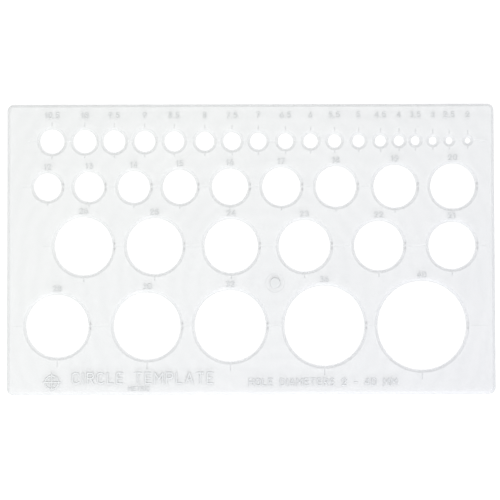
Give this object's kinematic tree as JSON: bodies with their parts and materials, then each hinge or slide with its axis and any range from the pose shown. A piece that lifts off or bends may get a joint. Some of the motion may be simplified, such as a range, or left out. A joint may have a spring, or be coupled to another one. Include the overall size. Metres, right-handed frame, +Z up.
{
  "type": "circle template",
  "caption": "Clear frosted plastic drafting stencil: a thin rectangular sheet with rows of graded round holes, bevelled rims, centre marks and raised size numerals.",
  "frame": {"origin": "centre of the underside, under the middle of the sheet", "axes": "+X along the rows of holes, to the right as the numerals read; +Y across the sheet towards the smallest holes' row; +Z up, out of the marked face"},
  "size_m": [0.223, 0.133, 0.0014],
  "materials": {
    "frosted_plastic": "clear, lightly frosted, moulded"
  },
  "bodies": {
    "root": {"template_sheet": "frosted_plastic", "numerals_row_1": "frosted_plastic", "numerals_row_2": "frosted_plastic", "numerals_row_3": "frosted_plastic", "numerals_row_4": "frosted_plastic", "title_lettering": "frosted_plastic", "caption_lettering": "frosted_plastic", "circle_symbol": "frosted_plastic", "gate_mark": "frosted_plastic"}
  },
  "joints": []
}
